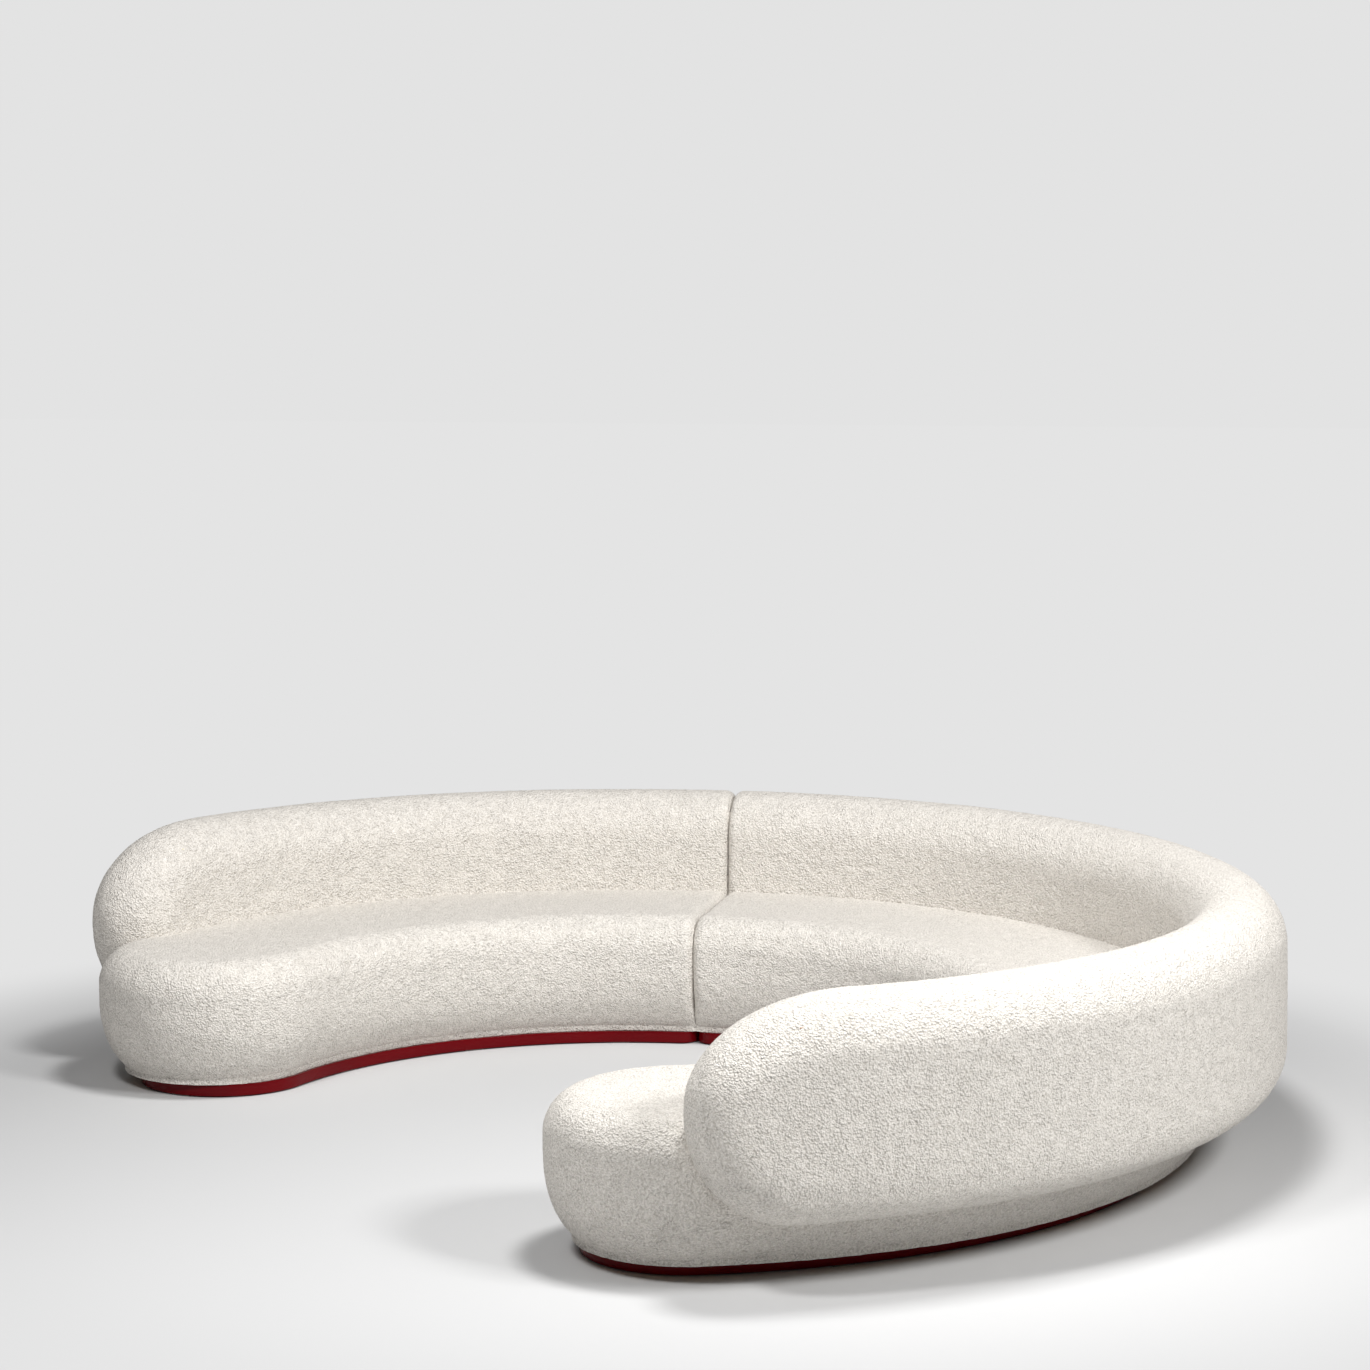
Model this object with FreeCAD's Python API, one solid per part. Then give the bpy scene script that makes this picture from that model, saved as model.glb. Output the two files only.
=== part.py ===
import FreeCAD, Part
import math
import os

# A curved sectional sofa in two modules that meet at a straight seam: a long one that goes
# half way round the arc and a short one that goes a quarter of the way.
# Millimetres, +Z up. Everything is drawn about the centre of the arc, with the seam on the
# +Y axis and the long module towards +X, and is moved at the end so that the origin is under
# the middle of the whole sofa, on the floor.

V = FreeCAD.Vector
UP = V(0, 0, 1)
CENTRE = V(0, 0, 0)

# Seat body, the upholstered block that is sat on
seat_front_radius = 1054.0
seat_body_depth = 731.0
seat_height = 428.0
seat_top_round = 90.0
seat_bottom_round = 127.0
seat_lip_inset = 75.0

# Back, a thick padded wall with full round edges
back_centre_radius = 1802.0
back_thickness = 293.0
back_low = 164.0
back_top = 750.0
back_end_height = 457.0
back_end_upper = 452.0
back_end_lower = 283.0
back_end_power = 2.12
back_tip_flat = 2.0
back_end_steps = 8
back_hidden_faces = 3

# Flat strips that make up a quarter of each rounded edge of the upholstery
round_faces = 4

# Plinth, the lacquered skirt under the seat body
plinth_height = 36.0
plinth_wall = 22.0
plinth_front_inset = 63.0
plinth_rear_inset = 130.0
plinth_corner_round = 28.0
crossbar_width = 45.0
pad_thickness = 4.0
pad_length = 60.0
pad_width = 16.0

# Timber frame of the seat
board_thickness = 18.0
rib_thickness = 18.0
rail_thickness = 20.0
lip_thickness = 4.0
seat_frame_top = 270.0
rib_dip = 40.0
rib_ledge = 70.0
notch_wall = 22.0
seat_wadding = 16.0
seam_wall = 12.0
end_rail_count = 6

# Springing of the seat
strap_width = 60.0
strap_thickness = 2.0
straps_per_bay = 2

# Timber frame of the back
back_front_padding = 44.0
back_rear_padding = 40.0
back_top_padding = 70.0
back_low_padding = 62.0
back_foam_thickness = 60.0
back_panel_thickness = 5.0
back_rail_height = 20.0
back_frame_short = 260.0

# Steel plates that carry the back on the seat frame
bracket_thickness = 6.0
bracket_grip = 110.0
bracket_drop = 120.0
bracket_neck = 40.0
bracket_rise = 100.0
first_bracket_bay = 1
bays_between_brackets = 3

# Steel plates that lock the two modules together under the seam
seam_plate_length = 160.0
seam_plate_width = 50.0
seam_plate_thickness = 5.0
seam_plate_inset = 90.0
seam_notch_gap = 1.0

# Clearances
soft_gap = 0.3
rail_gap = 3.0
rib_gap = 4.0
crossbar_gap = 0.5

# How far a cutting block runs past what it cuts
cut_past = 1.0

# The two modules: where each one ends, in degrees round the arc from the seam
long_seat_end = 160.7
long_back_lead = 1.7
long_bays = 12
short_seat_end = 76.2
short_back_lead = 0.9
short_bays = 6

# What follows from the sizes above
seat_rear_radius = seat_front_radius + seat_body_depth
base_level = pad_thickness + plinth_height
board_top = base_level + board_thickness
plinth_front = seat_front_radius + plinth_front_inset
plinth_rear = seat_rear_radius - plinth_rear_inset
board_front = seat_front_radius + seat_lip_inset + lip_thickness
board_rear = seat_rear_radius - seat_lip_inset - lip_thickness
back_half = back_thickness / 2
frame_rear = back_centre_radius - back_half - soft_gap - notch_wall
back_hollow_front = back_centre_radius - back_half + back_front_padding
back_hollow_rear = back_centre_radius + back_half - back_rear_padding
back_hollow_low = back_low + back_low_padding
back_hollow_top = back_top - back_top_padding
back_foam_rear = back_hollow_front + back_foam_thickness
back_frame_front = back_foam_rear + soft_gap
back_frame_rear = back_hollow_rear - back_panel_thickness - rail_gap
rib_half = rib_thickness / 2


class Module:
    """One of the two pieces that the sofa comes apart into."""

    def __init__(self, name, seat_end, back_lead, bays, mirrored):
        self.name = name
        self.seat_end = seat_end
        self.back_end = seat_end + back_lead
        self.mirrored = mirrored
        self.bay = seat_end / bays
        self.stations = [self.bay * k for k in range(bays + 1)]
        frame_end = self.back_end - degrees_at(back_frame_short, back_centre_radius)
        self.back_stations = [s for s in self.stations if s < frame_end - self.bay / 4]
        self.back_stations.append(frame_end)
        self.bow = math.cos(math.radians(self.bay) / 2)
        self.frame_front = board_front / self.bow


def degrees_at(length, radius):
    return math.degrees(length / radius)


def at(radius, angle, along=0.0, height=0.0):
    """A point at an angle round the arc, moved along the arc's tangent there."""
    turn = math.radians(angle)
    x = radius * math.sin(turn) + along * math.cos(turn)
    y = radius * math.cos(turn) - along * math.sin(turn)
    return V(x, y, height)


def turned(shape, angle):
    """A shape drawn at the seam, carried round the arc."""
    placed = shape.copy()
    placed.rotate(CENTRE, UP, -angle)
    return placed


def polygon_face(points):
    return Part.Face(Part.makePolygon(points + points[:1]))


def slab(points, low, high):
    """A board of any straight-sided plan between two levels."""
    return polygon_face([V(p.x, p.y, low) for p in points]).extrude(V(0, 0, high - low))


def plate(profile, thickness, along):
    """A flat plate that stands in the radial plane of the seam, from a radius and level outline."""
    face = polygon_face([V(along, radius, level) for radius, level in profile])
    return face.extrude(V(thickness, 0, 0))


def quarter(offset, level, radius, start, faces):
    """Points along a quarter of a round edge, from a start angle in degrees, turning forwards."""
    points = []
    for k in range(faces + 1):
        turn = math.radians(start + 90 * k / faces)
        points.append((offset + radius * math.cos(turn), level + radius * math.sin(turn)))
    return points


def curved_band(front, rear, low, high, end):
    """A band that follows the arc from the seam and ends in a half circle."""
    middle = (front + rear) / 2
    half = (rear - front) / 2
    edges = [
        Part.LineSegment(at(front, 0), at(rear, 0)),
        Part.Arc(at(rear, 0), at(rear, end / 2), at(rear, end)),
        Part.Arc(at(rear, end), at(middle, end, half), at(front, end)),
        Part.Arc(at(front, end), at(front, end / 2), at(front, 0)),
    ]
    band = Part.Face(Part.Wire([edge.toShape() for edge in edges])).extrude(V(0, 0, high - low))
    band.translate(V(0, 0, low))
    return band


def seam_point(radius, inset):
    """The point of a circle about the arc's centre that lies a given way in from the seam."""
    return V(inset, math.sqrt(radius * radius - inset * inset), 0)


def sawn_plan(front, rear, stations, inset):
    """Plan of a hidden piece that is sawn straight from rib to rib, with corners on two radii."""
    outer = [seam_point(rear, inset)] + [at(rear, angle) for angle in stations[1:]]
    inner = [at(front, angle) for angle in reversed(stations[1:])] + [seam_point(front, inset)]
    return outer, inner


def rounded_plan(front, rear, stations, inset):
    """The same plan with a round end, also sawn straight."""
    outer, inner = sawn_plan(front, rear, stations, inset)
    cap = [at(*corner) for corner in end_corners(front, rear, stations[-1], 0)[1:-1]]
    return outer + cap + inner


def end_corners(front, rear, end, lead):
    """Corners of a half circle of straight pieces, as radius, angle and way past the end."""
    middle = (front + rear) / 2
    half = (rear - front) / 2
    corners = []
    for k in range(end_rail_count + 1):
        turn = math.pi * k / end_rail_count
        corners.append((middle + half * math.cos(turn), end, max(lead, half * math.sin(turn))))
    return corners


def seat_section(reach):
    """Half of the seat body's section, from its middle line out to one side, at the seam."""
    middle = seat_front_radius + seat_body_depth / 2
    side = seat_body_depth / 2
    floor = base_level + soft_gap
    hip = seat_bottom_round
    start = -math.degrees(math.acos((hip - seat_lip_inset) / hip))
    hip_level = floor + math.sqrt(hip ** 2 - (hip - seat_lip_inset) ** 2)
    outline = [(0, floor)]
    for k in range(round_faces + 1):
        turn = math.radians(start * (1 - k / round_faces))
        outline.append((side - hip + hip * math.cos(turn), hip_level + hip * math.sin(turn)))
    brow = seat_top_round
    outline += quarter(side - brow, seat_height - brow, brow, 0, round_faces)
    outline.append((0, seat_height))
    return polygon_face([V(0, middle + reach * offset, level) for offset, level in outline])


def seat_body(module):
    """The whole seat block with its round end, before anything is taken out of it."""
    middle = seat_front_radius + seat_body_depth / 2
    rear = seat_section(1).revolve(CENTRE, UP, -module.seat_end)
    front = seat_section(-1).revolve(CENTRE, UP, -module.seat_end)
    cap = seat_section(1).revolve(V(0, middle, 0), UP, -180)
    return rear.fuse([front, turned(cap, module.seat_end)]).removeSplitter()


def back_outline(short_of_tip):
    """Lowest and highest level of the back at a distance from its tip."""
    def rise(length):
        left = max(0.0, 1 - short_of_tip / length)
        return (1 - left ** back_end_power) ** (1 / back_end_power)

    low = back_end_height - (back_end_height - back_low) * rise(back_end_lower)
    top = back_end_height + (back_top - back_end_height) * rise(back_end_upper)
    return low, top


def back_section(short_of_tip, grow):
    """Section of the back as a closed outline at the seam, coarser where the seat hides it."""
    low, top = back_outline(short_of_tip)
    left = max(0.0, 1 - short_of_tip / back_half)
    half = back_half * math.sqrt(1 - left * left) + grow
    low += half - grow
    top += grow - half
    outline = quarter(0, low, half, -90, round_faces)
    outline += quarter(0, top, half, 0, round_faces)
    outline += quarter(0, top, half, 90, round_faces)[1:]
    outline += quarter(0, low, half, 180, back_hidden_faces)[:-1]
    points = [V(0, back_centre_radius + offset, level) for offset, level in outline]
    return Part.makePolygon(points + points[:1])


def back_body(module, grow=0.0):
    """The whole back wall with its rounded end, before anything is taken out of it."""
    straight_end = module.back_end - degrees_at(back_end_upper, back_centre_radius)
    wall = Part.Face(back_section(back_end_upper, grow)).revolve(CENTRE, UP, -straight_end)
    rings = []
    for k in range(back_end_steps + 1):
        reach = back_end_upper * (1 - math.sin(math.pi / 2 * k / back_end_steps))
        angle = module.back_end - degrees_at(reach, back_centre_radius)
        rings.append(turned(back_section(max(reach, back_tip_flat), grow), angle))
    end = Part.makeLoft(rings, True, True)
    return wall.fuse(end).removeSplitter()


def plinth(module):
    """Lacquered skirt, a closed ring of bent board notched at the seam for the joining plates."""
    front = plinth_front
    rear = plinth_rear
    ring = curved_band(front, rear, pad_thickness, base_level, module.seat_end)
    corners = [e for e in ring.Edges if is_upright_at_seam(e)]
    ring = ring.makeFillet(plinth_corner_round, corners)
    high = base_level + cut_past
    hollow = curved_band(front + plinth_wall, rear - plinth_wall, 0, high, module.seat_end)
    seam_end = Part.makeBox(plinth_wall, rear, high)
    ring = ring.cut(hollow.cut(seam_end))
    return ring.cut(Part.makeCompound(seam_plates(seam_notch_gap)))


def is_upright_at_seam(edge):
    box = edge.BoundBox
    return box.XMax < plinth_wall / 2 and box.ZLength > plinth_height / 2


def crossbars(module):
    """Battens across the plinth, under every second rib."""
    bars = []
    front = plinth_front + plinth_wall
    rear = plinth_rear - plinth_wall - crossbar_gap
    reach = crossbar_width / 2
    for angle in module.stations[1::2]:
        plan = [at(front, angle, -reach), at(front, angle, reach)]
        plan += [at(rear, angle, reach), at(rear, angle, -reach)]
        bars.append(slab(plan, pad_thickness, base_level))
    return bars


def floor_pads(module):
    """Felt pads under the plinth, below the ends of the crossbars and at the round end."""
    pads = []
    reach = pad_length / 2
    middle = (plinth_front + plinth_rear) / 2
    for radius in (plinth_front + plinth_wall / 2, plinth_rear - plinth_wall / 2):
        for angle in module.stations[1::2]:
            pads.append(pad_at(radius, angle, 0, pad_width / 2, reach))
    end_wall = (plinth_rear - plinth_front) / 2 - plinth_wall / 2
    pads.append(pad_at(middle, module.seat_end, end_wall, reach, pad_width / 2))
    return pads


def pad_at(radius, angle, along, across, reach):
    plan = [at(radius - across, angle, along - reach), at(radius - across, angle, along + reach)]
    plan += [at(radius + across, angle, along + reach), at(radius + across, angle, along - reach)]
    return slab(plan, 0, pad_thickness)


def seat_hollow(module):
    """Space inside the seat's upholstery: the frame and foam, and the wider board under them."""
    upper = rounded_plan(module.frame_front, frame_rear, module.stations, seam_wall)
    lower = rounded_plan(module.frame_front, board_rear, module.stations, seam_wall)
    space = slab(upper, base_level, seat_height - seat_wadding)
    return space.fuse(slab(lower, base_level, board_top + soft_gap))


def base_board(module):
    inset = seam_wall + soft_gap
    front = module.frame_front + soft_gap
    plan = rounded_plan(front, board_rear - soft_gap, module.stations, inset)
    return [slab(plan, base_level, board_top)]


def seat_foam(module):
    inset = seam_wall + soft_gap
    front = module.frame_front + soft_gap
    plan = rounded_plan(front, frame_rear - soft_gap, module.stations, inset)
    low = seat_frame_top + strap_thickness + soft_gap
    return [slab(plan, low, seat_height - seat_wadding - soft_gap)]


def first_rib_along():
    """How far the middle of the first rib stands from the seam."""
    return seam_wall + soft_gap + rib_half


def seat_ribs(module):
    """Upright plywood ribs, cut lower between the rails so that the webbing can give."""
    front = module.frame_front + rib_gap
    rear = frame_rear - rib_gap
    dip = seat_frame_top - rib_dip
    profile = [(front, board_top), (rear, board_top), (rear, seat_frame_top)]
    profile += [(rear - rib_ledge, seat_frame_top), (rear - rib_ledge, dip)]
    profile += [(front + rib_ledge, dip), (front + rib_ledge, seat_frame_top)]
    profile += [(front, seat_frame_top)]
    ribs = [plate(profile, rib_thickness, first_rib_along() - rib_half)]
    rib = plate(profile, rib_thickness, -rib_half)
    return ribs + [turned(rib, angle) for angle in module.stations[1:]]


def rails(stations, front, rear, low, high, brackets):
    """Straight boards between neighbouring ribs, cut short beside a bracket."""
    past_first = first_rib_along() + rib_half
    first = [first_corner(radius, stations[1], past_first) for radius in (rear, front)]
    boards = [slab(first + rail_end(front, rear, stations[1]), low, high)]
    for k in range(1, len(stations) - 1):
        start = rib_half
        if k in brackets:
            start += bracket_thickness
        plan = [at(rear, stations[k], start), at(front, stations[k], start)]
        boards.append(slab(plan + rail_end(front, rear, stations[k + 1]), low, high))
    return boards


def rail_end(front, rear, angle):
    """The two corners of a rail that meet the near face of the rib at an angle."""
    return [at(front, angle, -rib_half), at(rear, angle, -rib_half)]


def first_corner(radius, angle, along):
    """Where a rail of the first bay starts, on the chord from the seam's wall to the next rib."""
    wall = seam_point(radius, seam_wall)
    rib = at(radius, angle)
    return wall + (rib - wall) * ((along - wall.x) / (rib.x - wall.x))


def front_rails(module):
    front = module.frame_front + soft_gap
    rear = front + rail_thickness
    return rails(module.stations, front, rear, board_top, seat_frame_top, [])


def rear_rails(module):
    rear = frame_rear - rail_gap
    front = rear - rail_thickness
    brackets = bracket_bays(module)
    return rails(module.stations, front, rear, board_top, seat_frame_top, brackets)


def end_rails(module):
    """Straight boards that close the frame round its half-circle end."""
    front = module.frame_front + rib_gap
    rear = frame_rear - rib_gap
    outside = end_corners(front, rear, module.seat_end, rib_half)
    inside = end_corners(front + rail_thickness, rear - rail_thickness, module.seat_end, rib_half)
    boards = []
    for k in range(end_rail_count):
        plan = [at(*outside[k]), at(*outside[k + 1]), at(*inside[k + 1]), at(*inside[k])]
        boards.append(slab(plan, board_top, seat_frame_top))
    return boards


def webbing(module):
    """Elastic straps stretched from the front rails to the rear rails."""
    front = module.frame_front + rail_gap
    rear = (frame_rear - rail_gap) * module.bow - rail_gap
    straps = []
    for start in module.stations[:-1]:
        for k in range(straps_per_bay):
            angle = start + module.bay * (k + 1) / (straps_per_bay + 1)
            reach = strap_width / 2
            plan = [at(front, angle, -reach), at(front, angle, reach)]
            plan += [at(rear, angle, reach), at(rear, angle, -reach)]
            straps.append(slab(plan, seat_frame_top, seat_frame_top + strap_thickness))
    return straps


def back_hollow(module):
    outer, inner = sawn_plan(back_hollow_front, back_hollow_rear, module.back_stations, seam_wall)
    return slab(outer + inner, back_hollow_low, back_hollow_top)


def back_layer(module, front, rear):
    """A layer of the back that follows the ribs and fills the height of the hollow."""
    outer, inner = sawn_plan(front, rear, module.back_stations[:-1] + [back_last(module)],
                             seam_wall + soft_gap)
    return slab(outer + inner, back_hollow_low + soft_gap, back_hollow_top - soft_gap)


def back_last(module):
    """Where the back's frame stops, just short of the end of its hollow."""
    return module.back_stations[-1] - degrees_at(soft_gap * 2, back_hollow_front)


def back_foam(module):
    layer = back_layer(module, back_hollow_front + soft_gap, back_foam_rear)
    return [layer.cut(Part.makeCompound(brackets(module, soft_gap)))]


def back_panel(module):
    rear = back_hollow_rear - soft_gap
    return [back_layer(module, rear - back_panel_thickness, rear)]


def back_ribs(module):
    front = back_frame_front
    rear = back_frame_rear - soft_gap
    low = back_hollow_low + soft_gap
    top = back_hollow_top - soft_gap
    profile = [(front, low), (rear, low), (rear, top), (front, top)]
    ribs = [plate(profile, rib_thickness, first_rib_along() - rib_half)]
    rib = plate(profile, rib_thickness, -rib_half)
    ribs += [turned(rib, angle) for angle in module.back_stations[1:-1]]
    last = plate(profile, rib_thickness, -rib_thickness)
    return ribs + [turned(last, back_last(module))]


def back_rails(module, low, high):
    stations = list(module.back_stations)
    stations[-1] = back_last(module) - degrees_at(rib_half, back_frame_front)
    front = back_frame_front + rail_gap
    rear = back_frame_rear - rail_gap
    return rails(stations, front, rear, low, high, bracket_bays(module))


def back_top_rails(module):
    top = back_hollow_top - soft_gap
    return back_rails(module, top - back_rail_height, top)


def back_bottom_rails(module):
    low = back_hollow_low + soft_gap
    return back_rails(module, low, low + back_rail_height)


def bracket_bays(module):
    return list(range(first_bracket_bay, len(module.back_stations) - 1, bays_between_brackets))


def brackets(module, grow=0.0):
    """Cranked steel plates screwed to a seat rib and a back rib, through slots in the covers."""
    seat_end = frame_rear - rib_gap - bracket_grip
    wall = frame_rear - rail_gap
    back_start = back_frame_front
    back_end = back_frame_front + bracket_grip
    neck = seat_frame_top - bracket_neck
    foot = seat_frame_top - bracket_drop
    head = neck + bracket_rise
    outline = [(seat_end, foot - grow), (wall - rib_gap + grow, foot - grow)]
    outline += [(wall - rib_gap + grow, neck - grow), (back_end, neck - grow)]
    outline += [(back_end, head + grow), (back_start - grow, head + grow)]
    outline += [(back_start - grow, seat_frame_top + grow), (seat_end, seat_frame_top + grow)]
    shape = plate(outline, bracket_thickness + 2 * grow, rib_half - grow)
    return [turned(shape, module.stations[bay]) for bay in bracket_bays(module)]


def seam_plates(grow=0.0):
    """Two steel plates that lie under both base boards and tie the modules together."""
    plates = []
    reach = seam_plate_width / 2 + grow
    low = base_level - seam_plate_thickness - grow
    for middle in (plinth_front + seam_plate_inset, plinth_rear - seam_plate_inset):
        shape = Part.makeBox(seam_plate_length, 2 * reach, base_level + grow - low)
        shape.translate(V(-seam_plate_length / 2, middle - reach, low))
        plates.append(shape)
    return plates


def seat_cover(module, back_space):
    """Boucle cover with the padding glued under it, notched where the back stands."""
    cover = seat_body(module).cut(back_space)
    cover = cover.cut(seat_hollow(module))
    return [cover.cut(Part.makeCompound(brackets(module, soft_gap)))]


def back_cover(module):
    """Boucle cover of the back with the padding glued under it."""
    cover = back_body(module).cut(back_hollow(module))
    return [cover.cut(Part.makeCompound(brackets(module, soft_gap)))]


def module_pieces(module):
    return {
        "plinth": [plinth(module)],
        "plinth_crossbars": crossbars(module),
        "floor_pads": floor_pads(module),
        "base_board": base_board(module),
        "seat_ribs": seat_ribs(module),
        "front_rails": front_rails(module),
        "rear_rails": rear_rails(module),
        "end_rails": end_rails(module),
        "webbing": webbing(module),
        "seat_foam": seat_foam(module),
        "seat_cover": seat_cover(module, back_body(module, soft_gap)),
        "back_ribs": back_ribs(module),
        "back_top_rails": back_top_rails(module),
        "back_bottom_rails": back_bottom_rails(module),
        "back_panel": back_panel(module),
        "back_foam": back_foam(module),
        "back_brackets": brackets(module),
        "back_cover": back_cover(module),
    }


def placed(shape, module):
    """A piece of a module moved off the seam by half the gap, on its own side of it."""
    moved = shape.copy()
    moved.translate(V(soft_gap / 2, 0, 0))
    if module.mirrored:
        moved = moved.mirror(CENTRE, V(1, 0, 0))
    return moved


def sofa():
    pieces = {"seam_plates": Part.makeCompound(seam_plates())}
    modules = [
        Module("long", long_seat_end, long_back_lead, long_bays, False),
        Module("short", short_seat_end, short_back_lead, short_bays, True),
    ]
    for module in modules:
        for name, solids in module_pieces(module).items():
            whole = Part.makeCompound(solids)
            pieces[module.name + "_" + name] = placed(whole, module)
    return pieces


def write(pieces):
    """Writes every piece with the origin on the floor under the middle of the whole sofa."""
    box = Part.makeCompound(list(pieces.values())).optimalBoundingBox(False, False)
    shift = V(-box.Center.x, -box.Center.y, 0)
    os.makedirs("parts", exist_ok=True)
    for name, shape in pieces.items():
        shape.translate(shift)
        shape.exportStep("parts/" + name + ".step")
    print("size", box.XLength, box.YLength, box.ZLength, "arc centre at", shift)


write(sofa())
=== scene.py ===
import math

import bmesh
import bpy
import numpy as np
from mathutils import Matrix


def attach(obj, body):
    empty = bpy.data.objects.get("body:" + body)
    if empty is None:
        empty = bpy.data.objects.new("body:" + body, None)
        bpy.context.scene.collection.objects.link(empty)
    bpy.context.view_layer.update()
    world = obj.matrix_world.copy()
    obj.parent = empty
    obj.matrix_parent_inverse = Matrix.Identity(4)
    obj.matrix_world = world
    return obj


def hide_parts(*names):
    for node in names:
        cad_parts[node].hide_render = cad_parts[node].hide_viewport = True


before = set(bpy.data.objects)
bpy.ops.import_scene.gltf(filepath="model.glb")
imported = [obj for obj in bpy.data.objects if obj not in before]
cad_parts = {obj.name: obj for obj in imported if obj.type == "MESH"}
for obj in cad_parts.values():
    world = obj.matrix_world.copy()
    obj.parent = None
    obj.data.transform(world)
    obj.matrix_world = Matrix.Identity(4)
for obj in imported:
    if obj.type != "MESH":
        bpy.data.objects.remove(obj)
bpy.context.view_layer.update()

# Floor pads. Strips of pressed wool felt, glued under the plinth so that the lacquer never
# touches the floor. Die-cut from sheet, so the edges are square and a little hairy.


def linear(colour):
    """An sRGB hex colour as the linear values that a shader takes."""
    parts = [int(colour[k:k + 2], 16) / 255 for k in (1, 3, 5)]
    return [p / 12.92 if p <= 0.04045 else ((p + 0.055) / 1.055) ** 2.4 for p in parts] + [1.0]


def add_node(tree, kind, settings=(), links=()):
    """Adds one node. Settings and links are named by socket, socket number or property."""
    made = tree.nodes.new(kind)
    for name, value in dict(settings).items():
        if isinstance(name, int) or name in made.inputs:
            made.inputs[name].default_value = value
        else:
            setattr(made, name, value)
    for name, output in dict(links).items():
        tree.links.new(output, made.inputs[name])
    return made


def new_finish(name, roughness, ior=1.5, metallic=0.0):
    """A material with its shader, and the place on the sofa in metres that its pattern follows."""
    finish = bpy.data.materials.new(name)
    finish.use_nodes = True
    tree = finish.node_tree
    shader = tree.nodes["Principled BSDF"]
    shader.inputs["Roughness"].default_value = roughness
    shader.inputs["IOR"].default_value = ior
    shader.inputs["Metallic"].default_value = metallic
    place = add_node(tree, "ShaderNodeTexCoord").outputs["Object"]
    return finish, tree, shader, place


def two_tone(tree, shader, dark, light, amount):
    """Colours the surface between two hex colours by a pattern that runs from 0 to 1."""
    mix = add_node(tree, "ShaderNodeMix", {"data_type": "RGBA", 6: linear(dark), 7: linear(light)},
                   {0: amount})
    tree.links.new(mix.outputs[2], shader.inputs["Base Color"])


def relief(tree, shader, height, depth):
    """Raises the surface by a pattern, to a depth in metres."""
    bump = add_node(tree, "ShaderNodeBump", {"Strength": 1.0, "Distance": depth},
                    {"Height": height})
    tree.links.new(bump.outputs["Normal"], shader.inputs["Normal"])


def dress(finish, *names):
    """Gives the finish to pieces of both modules that keep their own solid."""
    for module_name in ("long_", "short_"):
        for name in names:
            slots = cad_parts[module_name + name].data.materials
            slots.clear()
            slots.append(finish)


# Pressed wool felt: matt, mottled grey, with short fibres that lie in all directions.
felt_fibre = 0.0008
felt, tree, shader, place = new_finish("pressed_wool_felt", 0.95)
fibres = add_node(tree, "ShaderNodeTexNoise", {"Scale": 1 / felt_fibre, "Detail": 3.0},
                  {"Vector": place})
two_tone(tree, shader, "#4A4744", "#77736D", fibres.outputs[0])
relief(tree, shader, fibres.outputs[0], 0.0004)
dress(felt, "floor_pads")

# Plinth. A low skirt of bent board in two closed rings, one for each module, sprayed with dark
# red polyester lacquer and polished. Corners at the seam are turned to 60 mm.

arc_centre = np.array([-0.0433006, -0.0673306])
seam_gap = 0.00015
front_radius = 1.054
body_depth = 0.731
body_middle = front_radius + body_depth / 2
rear_radius = front_radius + body_depth
seat_ends = {"long": 160.7, "short": 76.2}
plinth_front = front_radius + 0.063
plinth_rear = rear_radius - 0.130
plinth_low = 0.004
plinth_high = 0.040
plinth_wall = 0.022
plinth_corner = 0.060
plinth_edge = 0.0015
steps_per_degree = 1.4
plate_inset = 0.090
notch_half = 0.026
notch_reach = (-0.01, 0.10)
notch_levels = (0.034, 0.05)


def on_arc(radius, degrees, along=0.0):
    """Plan point at an angle round the arc from the seam, moved along the tangent there."""
    turn = np.radians(degrees)
    return np.stack([radius * np.sin(turn) + along * np.cos(turn),
                     radius * np.cos(turn) - along * np.sin(turn)], axis=-1)


def set_down(points, module_name):
    """Moves points drawn about the arc's centre to their side of the seam in the row frame."""
    placed = np.array(points, float).reshape(-1, 3)
    placed[:, 0] += seam_gap
    if module_name == "short":
        placed[:, 0] *= -1
    placed[:, :2] += arc_centre
    return placed


def sewn(name, points, faces, module_name):
    """A smooth mesh object from points about the arc's centre, with doubled points joined."""
    mesh = bpy.data.meshes.new(name)
    mesh.from_pydata(set_down(points, module_name).tolist(), [], faces)
    whole = bmesh.new()
    whole.from_mesh(mesh)
    bmesh.ops.remove_doubles(whole, verts=whole.verts, dist=0.00002)
    bmesh.ops.recalc_face_normals(whole, faces=whole.faces)
    whole.to_mesh(mesh)
    whole.free()
    mesh.shade_smooth()
    piece = bpy.data.objects.new(name, mesh)
    bpy.context.scene.collection.objects.link(piece)
    return piece


def strip_faces(rows, columns, close_rows=False, close_columns=False):
    """Four-sided faces between neighbouring points of a grid that is numbered row by row."""
    faces = []
    for r in range(rows if close_rows else rows - 1):
        for c in range(columns if close_columns else columns - 1):
            after, beside = (r + 1) % rows, (c + 1) % columns
            faces.append((r * columns + c, after * columns + c,
                          after * columns + beside, r * columns + beside))
    return faces


def cut_away(piece, cutters):
    """Cuts closed shapes out of a piece, and throws the shapes away."""
    for cutter in cutters:
        cut = piece.modifiers.new("cut", "BOOLEAN")
        cut.operation = "DIFFERENCE"
        cut.solver = "EXACT"
        cut.object = cutter
    bpy.context.view_layer.update()
    ready = piece.evaluated_get(bpy.context.evaluated_depsgraph_get())
    whole = bpy.data.meshes.new_from_object(ready)
    piece.modifiers.clear()
    piece.data = whole
    for cutter in cutters:
        bpy.data.objects.remove(cutter)


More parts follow.
